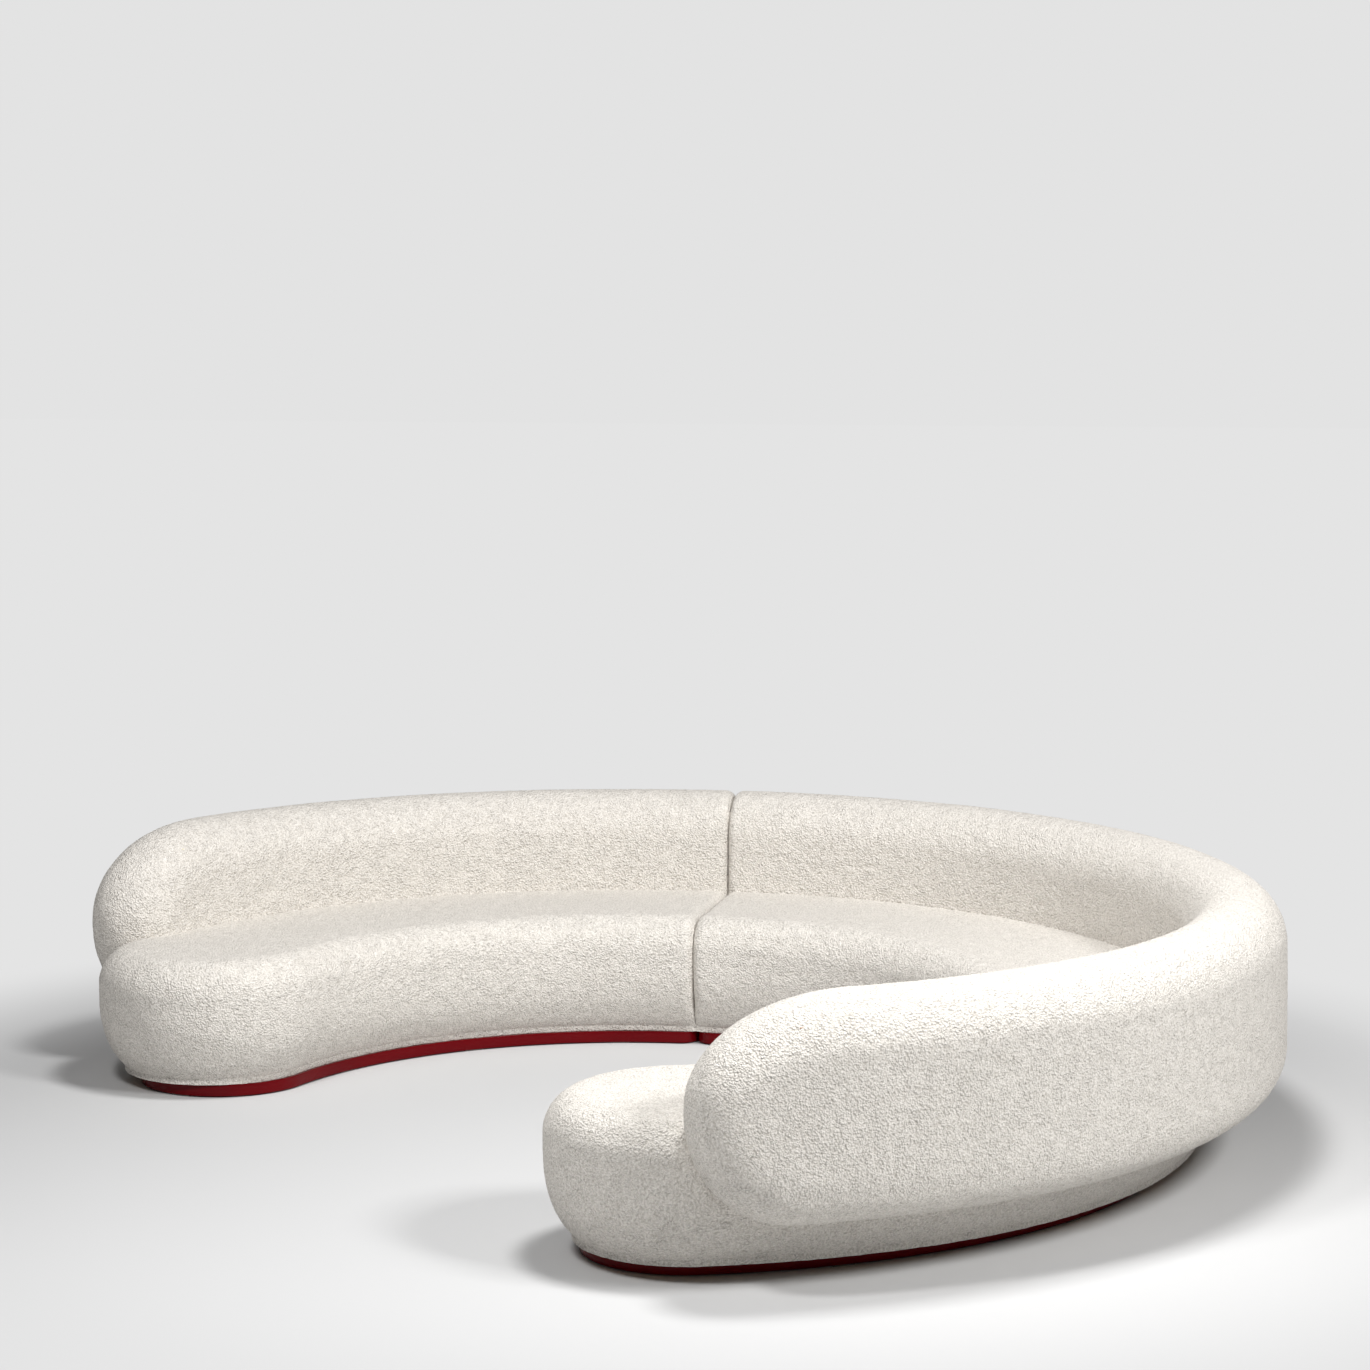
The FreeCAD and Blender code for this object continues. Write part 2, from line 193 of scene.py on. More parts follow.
def skirt_line(end):
    """Plan of the plinth's outer face, once round: points, outward ways, and room to step in."""
    front, rear, corner = plinth_front, plinth_rear, plinth_corner
    middle, half = (front + rear) / 2, (rear - front) / 2
    spots, outward, room = [], [], []

    def go(points, directions, space=1.0):
        spots.append(points)
        outward.append(directions)
        room.append(np.full(len(points), space))

    rear_start = math.degrees(math.asin(corner / (rear - corner)))
    turns = np.radians(np.linspace(0, 90 - rear_start, 12)[:-1])
    hub = on_arc(rear - corner, rear_start)
    way = np.stack([-np.cos(turns), np.sin(turns)], axis=-1)
    go(hub + corner * way, way, corner)
    angles = np.linspace(rear_start, end, int(end * steps_per_degree))[:-1]
    go(on_arc(rear, angles), on_arc(1.0, angles))
    turns = np.radians(np.linspace(0, 180, 60))[:-1]
    hub = on_arc(middle, end)
    way = on_arc(np.cos(turns), end, np.sin(turns))
    go(hub + half * way, way)
    front_start = math.degrees(math.asin(corner / (front + corner)))
    angles = np.linspace(end, front_start, int(end * steps_per_degree))[:-1]
    go(on_arc(front, angles), -on_arc(1.0, angles))
    turns = np.radians(np.linspace(front_start - 90, 0, 12))
    hub = on_arc(front + corner, front_start)
    way = np.stack([-np.cos(turns), np.sin(turns)], axis=-1)
    go(hub + corner * way, way, corner)
    return np.concatenate(spots), np.concatenate(outward), np.concatenate(room)


def wall_section():
    """Section of the skirt as steps inwards from its outer face and levels, with eased edges."""
    corners = [(plinth_edge, plinth_high - plinth_edge, 90),
               (plinth_wall - plinth_edge, plinth_high - plinth_edge, 0),
               (plinth_wall - plinth_edge, plinth_low + plinth_edge, -90),
               (plinth_edge, plinth_low + plinth_edge, -180)]
    section = []
    for inward, level, start in corners:
        for k in range(4):
            turn = math.radians(start + 90 - 30 * k)
            section.append((inward + plinth_edge * math.cos(turn),
                            level + plinth_edge * math.sin(turn)))
    return section


def plate_notches(module_name):
    """Blocks that clear the joining plates by a millimetre where they pass the seam wall."""
    blocks = []
    for middle in (plinth_front + plate_inset, plinth_rear - plate_inset):
        corners = [(x, y, z) for x in notch_reach
                   for y in (middle - notch_half, middle + notch_half) for z in notch_levels]
        faces = [(0, 1, 3, 2), (4, 6, 7, 5), (0, 4, 5, 1),
                 (2, 3, 7, 6), (0, 2, 6, 4), (1, 5, 7, 3)]
        blocks.append(sewn("notch", corners, faces, module_name))
    return blocks


# Polyester lacquer on board: sprayed, flatted and polished to a deep gloss, with the faint
# waves of sprayed lacquer a few millimetres apart that make reflections tremble.
lacquer_wave = 0.004
red_lacquer, tree, shader, place = new_finish("red_polyester_lacquer", 0.20, 1.52)
shader.inputs["Specular IOR Level"].default_value = 0.08
shader.inputs["Coat Weight"].default_value = 0.06
shader.inputs["Coat Roughness"].default_value = 0.06
cloud = add_node(tree, "ShaderNodeTexNoise", {"Scale": 4.0, "Detail": 2.0}, {"Vector": place})
two_tone(tree, shader, "#58020A", "#6C040C", cloud.outputs[0])
waves = add_node(tree, "ShaderNodeTexNoise", {"Scale": 1 / lacquer_wave, "Detail": 1.0},
                 {"Vector": place})
relief(tree, shader, waves.outputs[0], 0.00002)

for module_name, end in seat_ends.items():
    spots, outward, room = skirt_line(end)
    rings = [np.column_stack([spots - np.minimum(inward, room)[:, None] * outward,
                              np.full(len(spots), level)])
             for inward, level in wall_section()]
    faces = strip_faces(len(rings), len(spots), True, True)
    skirt = sewn(module_name + "_lacquered_plinth", np.concatenate(rings), faces, module_name)
    cut_away(skirt, plate_notches(module_name))
    skirt.data.shade_smooth()
    skirt.data.set_sharp_from_angle(angle=math.radians(50))
    skirt.data.materials.append(red_lacquer)
    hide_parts(module_name + "_plinth")
    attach(skirt, "root")

# Battens and base board. Sawn softwood battens span the plinth and are screwed to it; a sheet
# of birch plywood lies on them and carries the whole seat frame.

# Sawn pine: matt, straw coloured, with soft darker lines along the batten.
softwood_ring = 0.006
pine, tree, shader, place = new_finish("sawn_pine", 0.75)
stretched = add_node(tree, "ShaderNodeMapping", {"Scale": (0.12, 0.12, 1.0)}, {"Vector": place})
lines = add_node(tree, "ShaderNodeTexNoise",
                 {"Scale": 1 / softwood_ring, "Detail": 4.0, "Distortion": 0.6},
                 {"Vector": stretched.outputs[0]})
two_tone(tree, shader, "#B98F5E", "#DCBD8F", lines.outputs[0])
relief(tree, shader, lines.outputs[0], 0.0004)
dress(pine, "plinth_crossbars")

# Birch plywood lying flat: a pale satin face, and thin light and dark plies on its edges.
ply_thickness = 0.0015
face_figure = 1 / 60
flat_plywood, tree, shader, place = new_finish("birch_plywood_flat", 0.55)
level = add_node(tree, "ShaderNodeSeparateXYZ", {}, {0: place}).outputs[2]
plies = add_node(tree, "ShaderNodeMath", {"operation": "PINGPONG", 1: ply_thickness}, {0: level})
shade = add_node(tree, "ShaderNodeMapRange",
                 {"From Min": 0.0, "From Max": ply_thickness, "To Min": 0.0, "To Max": 0.6},
                 {"Value": plies.outputs[0]})
figure = add_node(tree, "ShaderNodeTexNoise",
                  {"Scale": 1 / face_figure, "Detail": 4.0, "Distortion": 1.2},
                  {"Vector": place})
mottle = add_node(tree, "ShaderNodeMath", {"operation": "MULTIPLY_ADD", 1: 0.4},
                  {0: figure.outputs[0], 2: shade.outputs[0]})
two_tone(tree, shader, "#C79F6B", "#E7CFA4", mottle.outputs[0])
relief(tree, shader, figure.outputs[0], 0.0002)
dress(flat_plywood, "base_board")

# Seat frame. Upright plywood ribs, sawn by machine, with beech rails screwed between them at
# the front and rear and short ones round the half-circle end.

# Birch plywood on edge: the same sheet, seen mostly on its sawn face.
sawn_plywood, tree, shader, place = new_finish("birch_plywood_sawn", 0.6)
stretched = add_node(tree, "ShaderNodeMapping", {"Scale": (1.0, 1.0, 0.15)}, {"Vector": place})
figure = add_node(tree, "ShaderNodeTexNoise", {"Scale": 80.0, "Detail": 5.0, "Distortion": 0.8},
                  {"Vector": stretched.outputs[0]})
two_tone(tree, shader, "#C49B68", "#E6CDA1", figure.outputs[0])
relief(tree, shader, figure.outputs[0], 0.0003)
dress(sawn_plywood, "seat_ribs")

# Planed beech: pinkish tan with the short dark flecks of the wood's rays, 2 to 3 mm long.
beech_fleck = 0.0025
beech, tree, shader, place = new_finish("planed_beech", 0.5)
flecks = add_node(tree, "ShaderNodeTexVoronoi", {"Scale": 1 / beech_fleck}, {"Vector": place})
grain = add_node(tree, "ShaderNodeTexNoise", {"Scale": 40.0, "Detail": 3.0}, {"Vector": place})
blend = add_node(tree, "ShaderNodeMath", {"operation": "MULTIPLY_ADD", 1: 0.35},
                 {0: flecks.outputs["Distance"], 2: grain.outputs[0]})
two_tone(tree, shader, "#B07F56", "#DDB48C", blend.outputs[0])
relief(tree, shader, flecks.outputs["Distance"], 0.0001)
dress(beech, "front_rails", "rear_rails", "end_rails")

# Webbing. Elastic straps 60 mm wide, woven from polyester over rubber, stretched from the front
# rails to the rear rails and stapled. Each gives a few millimetres in the middle.

strap_width = 0.060
strap_thickness = 0.002
strap_level = 0.270
strap_sag = 0.004
strap_points = 25
strap_clear = 0.003
bays = {"long": 12, "short": 6}
back_middle = 1.802
back_half = 0.1465
cover_gap = 0.0003
rear_rail = 0.022
frame_rear = back_middle - back_half - cover_gap - rear_rail
board_inset = 0.079
board_front = front_radius + board_inset

# Woven elastic: matt black-brown, with ribs across it about 2 mm apart.
rib_spacing = 0.002
webbing, tree, shader, place = new_finish("woven_elastic_webbing", 0.85)
weave = add_node(tree, "ShaderNodeTexVoronoi", {"Scale": 1 / rib_spacing, "Randomness": 0.35},
                 {"Vector": place})
two_tone(tree, shader, "#5C5248", "#37302A", weave.outputs["Distance"])
relief(tree, shader, weave.outputs["Distance"], 0.0006)

for module_name, count in bays.items():
    bay = seat_ends[module_name] / count
    bow = math.cos(math.radians(bay) / 2)
    strap_front = board_front / bow + strap_clear
    strap_rear = (frame_rear - strap_clear) * bow - strap_clear
    points, faces = [], []
    for k in range(2 * count):
        angle = bay * (k // 2 + (k % 2 + 1) / 3)
        radii = np.linspace(strap_front, strap_rear, strap_points)
        drop = strap_sag * np.sin(np.linspace(0, math.pi, strap_points)) ** 2
        grid = []
        for along, height in ((-0.5, 0), (0.5, 0), (0.5, 1), (-0.5, 1)):
            plan = on_arc(radii, angle, along * strap_width)
            grid.append(np.column_stack([plan, strap_level - drop + height * strap_thickness]))
        first = 4 * strap_points * k
        last = first + strap_points - 1
        faces += [tuple(first + n for n in face) for face in strip_faces(4, strap_points, True)]
        faces += [tuple(first + strap_points * n for n in range(4)),
                  tuple(last + strap_points * n for n in reversed(range(4)))]
        points.append(np.concatenate(grid))
    straps = sewn(module_name + "_elastic_straps", np.concatenate(points), faces, module_name)
    straps.data.set_sharp_from_angle(angle=math.radians(40))
    straps.data.materials.append(webbing)
    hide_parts(module_name + "_webbing")
    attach(straps, "root")

# Foam. Cut blocks of polyurethane: a deep one on the webbing that is sat on, and a layer in
# front of the back's frame. Corners are eased by hand so that they don't show in the cover.

foam_ease = 0.006
foam_cell = 0.0015

# Open-cell foam: matt, cream turning yellow with age, full of pinholes a millimetre or so wide.
foam, tree, shader, place = new_finish("open_cell_foam", 0.95)
cells = add_node(tree, "ShaderNodeTexVoronoi", {"Scale": 1 / foam_cell}, {"Vector": place})
two_tone(tree, shader, "#F0E6BE", "#CDBD86", cells.outputs["Distance"])
relief(tree, shader, cells.outputs["Distance"], 0.0008)

for module_name in seat_ends:
    for part_name in ("seat_foam", "back_foam"):
        node_name = module_name + "_" + part_name
        block = bpy.data.objects.new(node_name.replace("foam", "foam_block"),
                                     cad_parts[node_name].data.copy())
        bpy.context.scene.collection.objects.link(block)
        whole = bmesh.new()
        whole.from_mesh(block.data)
        bmesh.ops.remove_doubles(whole, verts=whole.verts, dist=0.00001)
        bmesh.ops.dissolve_limit(whole, angle_limit=math.radians(1), verts=whole.verts,
                                 edges=whole.edges)
        sharp = [e for e in whole.edges if e.calc_face_angle(0) > math.radians(30)]
        bmesh.ops.bevel(whole, geom=sharp, offset=foam_ease, segments=3, profile=0.5,
                        affect="EDGES", clamp_overlap=True)
        whole.to_mesh(block.data)
        whole.free()
        block.data.shade_smooth()
        block.data.set_sharp_from_angle(angle=math.radians(40))
        block.data.materials.clear()
        block.data.materials.append(foam)
        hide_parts(node_name)
        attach(block, "root")

# Back frame. Plywood ribs between beech rails, and a thin panel of bending plywood stapled on
# behind, which takes the curve of the arc without steam.

# Bending plywood: three soft plies of a tropical wood, warm pink-brown with an open grain.
open_grain = 0.003
bending_plywood, tree, shader, place = new_finish("bending_plywood", 0.7)
stretched = add_node(tree, "ShaderNodeMapping", {"Scale": (1.0, 1.0, 0.06)}, {"Vector": place})
figure = add_node(tree, "ShaderNodeTexNoise", {"Scale": 1 / open_grain, "Detail": 3.0},
                  {"Vector": stretched.outputs[0]})
two_tone(tree, shader, "#8F6447", "#C59A76", figure.outputs[0])
relief(tree, shader, figure.outputs[0], 0.0003)
dress(sawn_plywood, "back_ribs")
dress(beech, "back_top_rails", "back_bottom_rails")
dress(bending_plywood, "back_panel")

# Steel plates. Cranked brackets carry the back on the seat frame, and two flat plates under the
# seam lock the modules together. Cut from 5 and 6 mm plate and zinc plated.

# Zinc plating: bright bluish grey, slightly cloudy, with the fine lines of rolled plate.
rolling_line = 0.0012
zinc, tree, shader, place = new_finish("zinc_plated_steel", 0.35, metallic=1.0)
cloud = add_node(tree, "ShaderNodeTexNoise", {"Scale": 90.0, "Detail": 3.0}, {"Vector": place})
two_tone(tree, shader, "#8E959C", "#C3C9CE", cloud.outputs[0])
stretched = add_node(tree, "ShaderNodeMapping", {"Scale": (1.0, 1.0, 0.05)}, {"Vector": place})
lines = add_node(tree, "ShaderNodeTexNoise", {"Scale": 1 / rolling_line, "Detail": 1.0},
                 {"Vector": stretched.outputs[0]})
relief(tree, shader, lines.outputs[0], 0.00005)
dress(zinc, "back_brackets")
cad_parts["seam_plates"].data.materials.clear()
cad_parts["seam_plates"].data.materials.append(zinc)

# Back covers. Boucle sewn over fibre wadding and drawn tight round the frame: a wall of even
# thickness with full round edges that follows the arc and closes in a rounded nose.

back_low = 0.164
back_top = 0.750
nose_level = 0.457
nose_upper = 0.452
nose_lower = 0.283
nose_power = 2.12
inner_lean = 0.025
outer_lean = -0.015
back_ends = {"long": 160.7 + 1.7, "short": 76.2 + 0.6}
seam_round = 0.034
seam_stations = seam_round * (1 - np.cos(np.radians(np.linspace(0, 90, 7))))
seam_overrun = 0.05
stitch_pitch = 0.009
tangent_step = 0.002
inner_face = 0.15
hub_setback = 0.02
cover_swells = ((0.0008, 0.009), (0.0005, 0.028), (0.0016, 0.240))


def loop_noise(points, grain, seed):
    """Smooth random values from -1 to 1 in space, about one swell to each grain."""
    cell = points / grain
    base = np.floor(cell).astype(np.int64)
    part = cell - base
    part = part * part * (3 - 2 * part)
    total = np.zeros(len(points))
    for corner in range(8):
        step = np.array([corner & 1, corner >> 1 & 1, corner >> 2 & 1])
        spot = base + step
        mixed = (spot[:, 0] * 73856093) ^ (spot[:, 1] * 19349663) ^ (spot[:, 2] * 83492791)
        mixed = (mixed + seed * 2654435761) & 0xFFFFFFFF
        mixed = ((mixed ^ (mixed >> 15)) * 2246822519) & 0xFFFFFFFF
        mixed = ((mixed ^ (mixed >> 13)) * 3266489917) & 0xFFFFFFFF
        value = ((mixed ^ (mixed >> 16)) & 0xFFFF) / 32767.5 - 1
        weight = np.prod(np.where(step == 1, part, 1 - part), axis=1)
        total += weight * value
    return total


def raise_loops(piece):
    """Lifts the cover's surface: loops, clumps of them, and the slow unevenness of padding."""
    mesh = piece.data
    count = len(mesh.vertices)
    places = np.zeros(count * 3)
    normals = np.zeros(count * 3)
    mesh.vertices.foreach_get("co", places)
    mesh.vertices.foreach_get("normal", normals)
    places = places.reshape(-1, 3)
    normals = normals.reshape(-1, 3)
    lift = np.zeros(count)
    for seed, (height, grain) in enumerate(cover_swells, 1):
        lift += height * loop_noise(places, grain, seed)
    mesh.vertices.foreach_set("co", (places + normals * lift[:, None]).reshape(-1))
    mesh.update()


def nose_line(length, pitch):
    """The back's outline laid flat, from the seam over the top, round the nose and back below."""
    turns = np.linspace(0, math.pi / 2, 400)
    near, far = np.cos(turns) ** (2 / nose_power), np.sin(turns) ** (2 / nose_power)
    upper = np.column_stack([length - nose_upper + nose_upper * far,
                             nose_level + (back_top - nose_level) * near])
    lower = np.column_stack([length - nose_lower + nose_lower * far,
                             nose_level - (nose_level - back_low) * near])[::-1]
    line = np.concatenate([[[0, back_top]], upper, lower[1:], [[0, back_low]]])
    run = np.concatenate([[0], np.cumsum(np.hypot(*np.diff(line, axis=0).T))])
    even = np.linspace(0, run[-1], int(run[-1] / pitch))
    clear = seam_round + pitch / 2
    even = np.concatenate([seam_stations, even[(even > clear) & (even < run[-1] - clear)],
                           run[-1] - seam_stations[::-1]])

    def spot(distances):
        return np.column_stack([np.interp(distances, run, line[:, k]) for k in (0, 1)])

    spots = spot(even)
    way = spot(even + tangent_step) - spot(even - tangent_step)
    way /= np.linalg.norm(way, axis=1)[:, None]
    inward = np.column_stack([way[:, 1], -way[:, 0]])
    return spots, inward


def seam_inset(short_of_seam):
    """How far the rounded edge at the seam has drawn in, at a distance from the seam."""
    left = np.clip(seam_round - short_of_seam, 0, seam_round)
    return seam_round - np.sqrt(seam_round ** 2 - left ** 2)


def back_skin(name, module_name, pitch, grow=0.0):
    """The back's closed surface: rays from the middle of its inner face over the edge behind."""
    end = back_ends[module_name]
    length = math.radians(end) * back_middle
    spots, inward = nose_line(length, pitch)
    hub = length - nose_lower - hub_setback
    half = back_half + grow
    flat_steps = int(inner_face / pitch)
    edge_steps = int(math.pi * half / pitch)
    columns = []
    for (s, z), (ns, nz) in zip(spots, inward):
        core = (s + back_half * ns, z + back_half * nz)
        spine = (min(core[0], hub), nose_level)
        draw = 0.0 if grow else float(seam_inset(s))
        column = []
        for k in range(flat_steps):
            w = k / flat_steps
            column.append((spine[0] + w * (core[0] - spine[0]),
                           spine[1] + w * (core[1] - spine[1]), -half + draw))
        for k in range(edge_steps + 1):
            turn = math.pi * k / edge_steps
            reach = (half - draw) * math.sin(turn)
            column.append((core[0] - ns * reach, core[1] - nz * reach,
                           -(half - draw) * math.cos(turn)))
        for k in range(flat_steps - 1, -1, -1):
            w = k / flat_steps
            column.append((spine[0] + w * (core[0] - spine[0]),
                           spine[1] + w * (core[1] - spine[1]), half - draw))
        columns.append(column)
    flat = np.array(columns)
    rows, per = flat.shape[:2]
    s, z, across = flat.reshape(-1, 3).T
    side = across / half
    lean = ((1 - side) * inner_lean + (1 + side) * outer_lean) / 2 * (z - nose_level)
    radius = back_middle + across + lean
    near_seam = s < seam_round * 1.01
    plan = on_arc(radius, np.degrees(s / back_middle))
    if grow:
        plan[s < 1e-9, 0] -= seam_overrun
    else:
        plan[near_seam] = np.column_stack([s, np.sqrt(radius ** 2 - s ** 2)])[near_seam]
    faces = strip_faces(rows, per)
    last = (rows - 1) * per
    faces += [(c + 1, c, last + c, last + c + 1) for c in range(per - 1)]
    return sewn(name, np.column_stack([plan, z]), faces, module_name)


# Boucle: wool and cotton looped yarn, woven and left unbrushed. Ivory loops stand at all angles,
# crowded in some places and flat in others, so that light from above picks out every crest.
# A loop is 5 to 6 mm wide and stands up to 6 mm high, and its yarn curls across the next ones.
loop_size = 0.0055
loop_height = 0.006
curl_size = 0.007
yarn_bend = 0.012
yarn_shift = 0.002
crowd_size = 0.030
boucle, tree, shader, place = new_finish("ivory_boucle", 0.95)
shader.inputs["Sheen Weight"].default_value = 0.15
shader.inputs["Sheen Roughness"].default_value = 0.6
shader.inputs["Sheen Tint"].default_value = linear("#FFFBF4")
shader.inputs["Specular IOR Level"].default_value = 0.2
bend = add_node(tree, "ShaderNodeTexNoise", {"Scale": 1 / yarn_bend, "Detail": 1.0},
                {"Vector": place})
shift = add_node(tree, "ShaderNodeVectorMath", {"operation": "SCALE", "Scale": yarn_shift},
                 {0: bend.outputs["Color"]})
wound = add_node(tree, "ShaderNodeVectorMath", {"operation": "ADD"},
                 {0: place, 1: shift.outputs[0]})
nubs = add_node(tree, "ShaderNodeTexVoronoi", {"Scale": 1 / loop_size},
                {"Vector": wound.outputs[0]})
curls = add_node(tree, "ShaderNodeTexNoise",
                 {"Scale": 1 / curl_size, "Detail": 2.0, "Roughness": 0.5},
                 {"Vector": wound.outputs[0]})
nub_height = add_node(tree, "ShaderNodeMath", {"operation": "MULTIPLY_ADD", 1: -0.8, 2: 0.8},
                      {0: nubs.outputs["Distance"]})
loops = add_node(tree, "ShaderNodeMath", {"operation": "MULTIPLY_ADD", 1: 1.2},
                 {0: curls.outputs[0], 2: nub_height.outputs[0]})
crowd = add_node(tree, "ShaderNodeTexNoise", {"Scale": 1 / crowd_size, "Detail": 2.0},
                 {"Vector": place})
crowding = add_node(tree, "ShaderNodeMapRange",
                    {"From Min": 0.38, "From Max": 0.62, "To Min": 0.65, "To Max": 1.0},
                    {"Value": crowd.outputs[0]})
standing = add_node(tree, "ShaderNodeMath", {"operation": "MULTIPLY"},
                    {0: loops.outputs[0], 1: crowding.outputs[0]})
# Painted shade and light: the colour darkens in the pits between the loops and lightens on their
# crests, following loop height, in place of the shade that falls between the loops.
painted_loop_shade = add_node(tree, "ShaderNodeMapRange", {"From Min": 0.55, "From Max": 1.35},
                {"Value": loops.outputs[0]})
two_tone(tree, shader, "#C6C0B7", "#F2EDE6", painted_loop_shade.outputs[0])
relief(tree, shader, standing.outputs[0], loop_height)

for module_name in seat_ends:
    cover = back_skin(module_name + "_back_boucle", module_name, stitch_pitch)
    raise_loops(cover)
    cover.data.shade_smooth()
    cover.data.materials.append(boucle)
    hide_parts(module_name + "_back_cover")
    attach(cover, "root")

# Seat covers. The same boucle over foam: one block with a half-circle end, a round top edge and
# a deep round under-edge, stapled under the base board and hollowed where the back stands.

seat_level = 0.428
seat_rake = 0.008
brow_depth = 0.105
brow_height = 0.112
hip_level = 0.265
hip_depth = 0.130
hip_height = 0.228
lip_inset = 0.075
seat_floor = 0.0403
lip_width = 0.004
back_clearance = 0.0015
cutter_pitch = 0.018


def seat_profile(pitch):
    """Half section of the seat, from the middle of the top to the middle below, with normals."""
    side = body_depth / 2
    stop = math.acos(1 - lip_inset / hip_depth)
    knots = []

    def run(start, finish, normal):
        count = max(1, int(math.dist(start, finish) / pitch))
        for k in range(count):
            w = k / count
            knots.append((start[0] + w * (finish[0] - start[0]),
                          start[1] + w * (finish[1] - start[1])) + normal)

    def bend_over(hub, depth, height, first, last):
        count = int(abs(last - first) * (depth + height) / 2 / pitch)
        for k in range(count):
            turn = first + (last - first) * k / count
            across, up = math.cos(turn) / depth, math.sin(turn) / height
            size = math.hypot(across, up)
            knots.append((hub[0] + depth * math.cos(turn), hub[1] + height * math.sin(turn),
                          across / size, up / size))

    brow_level = seat_level - brow_height
    run((0, seat_level), (side - brow_depth, seat_level), (0, 1))
    bend_over((side - brow_depth, brow_level), brow_depth, brow_height, math.pi / 2, 0)
    run((side, brow_level), (side, hip_level), (1, 0))
    bend_over((side - hip_depth, hip_level), hip_depth, hip_height, 0, -stop)
    run((side - lip_inset, hip_level - hip_height * math.sin(stop)),
        (side - lip_inset, seat_floor), (1, 0))
    run((side - lip_inset, seat_floor), (side - lip_inset - lip_width, seat_floor), (0, -1))
    run((side - lip_inset - lip_width, seat_floor), (0, seat_floor), (0, -1))
    knots.append((0, seat_floor, 0, -1))
    return np.array(knots)


def seat_skin(name, module_name, pitch):
    """The seat's closed surface, its seam edge rounded less where it is stapled to the board."""
    end = seat_ends[module_name]
    profile = seat_profile(pitch)
    out, level, out_way, up_way = profile.T
    steps = int(math.radians(end) * body_middle / pitch)
    taut = np.clip((level - 0.055) / 0.080, 0.08, 1.0)
    columns = []
    for sign in (1, -1):
        side_columns = []
        for s in seam_stations:
            draw = float(seam_inset(s)) * taut
            radius = body_middle + sign * np.clip(out - draw * out_way, 0, None)
            plan = np.column_stack([np.full(len(out), s), np.sqrt(radius ** 2 - s ** 2)])
            side_columns.append(np.column_stack([plan, level - draw * up_way]))
        start = math.degrees(seam_round / front_radius) + 0.3
        for angle in np.linspace(start, end, steps):
            side_columns.append(np.column_stack([on_arc(body_middle + sign * out, angle), level]))
        columns.append(side_columns)
    fan = []
    for turn in np.linspace(0, math.pi, int(math.pi * body_depth / 2 / pitch))[1:-1]:
        plan = on_arc(body_middle + out * math.cos(turn), end, out * math.sin(turn))
        fan.append(np.column_stack([plan, level]))
    grid = np.array(columns[0] + fan + columns[1][::-1])
    way_back = (np.hypot(grid[:, :, 0], grid[:, :, 1]) - front_radius) / body_depth
    grid[:, :, 2] -= seat_rake * way_back * ((grid[:, :, 2] - seat_floor) / seat_level) ** 2
    rows, per = grid.shape[:2]
    faces = strip_faces(rows, per)
    last = (rows - 1) * per
    faces += [(c + 1, c, last + c, last + c + 1) for c in range(per - 1)]
    return sewn(name, grid.reshape(-1, 3), faces, module_name)


for module_name in seat_ends:
    cover = seat_skin(module_name + "_seat_boucle", module_name, stitch_pitch)
    cut_away(cover, [back_skin("back_space", module_name, cutter_pitch, back_clearance)])
    raise_loops(cover)
    cover.data.shade_smooth()
    cover.data.set_sharp_from_angle(angle=math.radians(45))
    cover.data.materials.clear()
    cover.data.materials.append(boucle)
    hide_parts(module_name + "_seat_cover")
    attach(cover, "root")

# Studio: a pale floor that runs into a pale backdrop, a softbox above the open middle that throws
# the shadows outwards, two that rake the outer faces from the front, and the camera.

floor_mesh = bpy.data.meshes.new("studio_floor")
reach = 60.0
floor_mesh.from_pydata([(-reach, -reach, 0), (reach, -reach, 0), (reach, reach, 0),
                        (-reach, reach, 0)], [], [(0, 1, 2, 3)])
studio_floor = bpy.data.objects.new("studio_floor", floor_mesh)
bpy.context.scene.collection.objects.link(studio_floor)

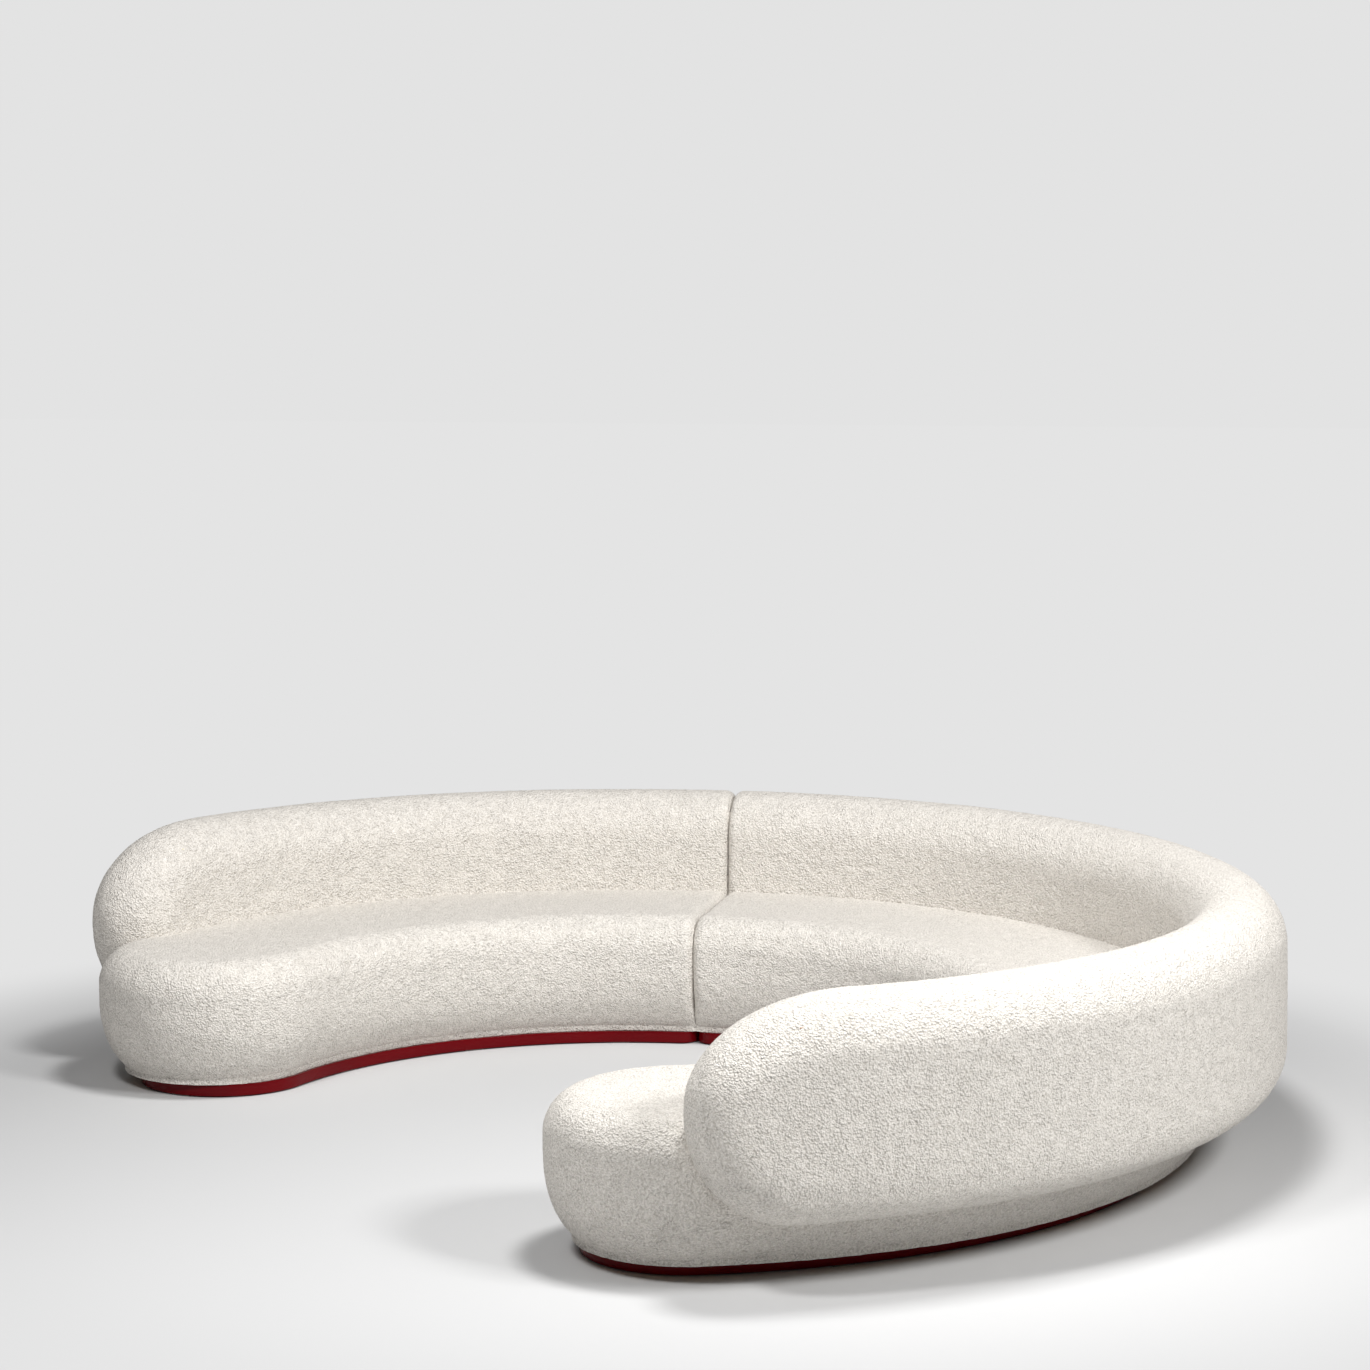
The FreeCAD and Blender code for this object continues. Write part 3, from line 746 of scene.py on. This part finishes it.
paper, tree, shader, place = new_finish("pale_studio_floor", 0.9)
shader.inputs["Base Color"].default_value = linear("#C8C8C8")
shader.inputs["Specular IOR Level"].default_value = 0.1
distance = add_node(tree, "ShaderNodeVectorMath", {"operation": "LENGTH"}, {0: place})
fade = add_node(tree, "ShaderNodeMapRange",
                {"From Min": 1.9, "From Max": 3.3, "interpolation_type": "SMOOTHSTEP"},
                {"Value": distance.outputs["Value"]})
glow = add_node(tree, "ShaderNodeEmission", {"Color": linear("#E4E4E4")})
blend = add_node(tree, "ShaderNodeMixShader", {},
                 {0: fade.outputs[0], 1: shader.outputs[0], 2: glow.outputs[0]})
tree.links.new(blend.outputs[0], tree.nodes["Material Output"].inputs["Surface"])
floor_mesh.materials.append(paper)

world = bpy.data.worlds.new("studio_air")
bpy.context.scene.world = world
world.use_nodes = True
tree = world.node_tree
air = tree.nodes["Background"]
air.inputs["Color"].default_value = linear("#F4F4F6")
air.inputs["Strength"].default_value = 0.12
ray = add_node(tree, "ShaderNodeLightPath")
backdrop = add_node(tree, "ShaderNodeBackground", {"Color": linear("#E3E3E3"), "Strength": 1.0})
choice = add_node(tree, "ShaderNodeMixShader", {},
                  {0: ray.outputs["Is Camera Ray"], 1: air.outputs[0], 2: backdrop.outputs[0]})
tree.links.new(choice.outputs[0], tree.nodes["World Output"].inputs["Surface"])


def hang_lamp(name, place, target, width, power):
    """A square softbox that faces a point."""
    lamp = bpy.data.lights.new(name, "AREA")
    lamp.size = width
    lamp.energy = power
    held = bpy.data.objects.new(name, lamp)
    held.location = place
    aim = np.array(target) - np.array(place)
    flat = math.hypot(aim[0], aim[1])
    held.rotation_euler = (math.atan2(flat, -aim[2]), 0, math.atan2(aim[1], aim[0]) - math.pi / 2)
    bpy.context.scene.collection.objects.link(held)


hang_lamp("key_softbox", (1.0, -0.9, 5.2), (0, 0, 0), 1.0, 192)
hang_lamp("right_softbox", (4.8, -3.0, 4.1), (1.3, -1.2, 0.4), 1.2, 255)
hang_lamp("left_softbox", (-1.2, -3.6, 4.6), (0.3, -1.5, 0.3), 0.8, 125)

photo_camera = bpy.data.cameras.new("photo_camera")
photo_camera.sensor_fit = "HORIZONTAL"
photo_camera.sensor_width = 36.0
photo_camera.lens = 90.68
photo_camera.clip_end = 200.0
standpoint = bpy.data.objects.new("photo_camera", photo_camera)
standpoint.location = (2.2168 + arc_centre[0], -9.8389 + arc_centre[1], 2.4212)
standpoint.rotation_euler = (math.radians(90 - 6.272), 0, math.radians(11.613))
bpy.context.scene.collection.objects.link(standpoint)
bpy.context.scene.camera = standpoint

bpy.context.scene.view_settings.view_transform = "Standard"
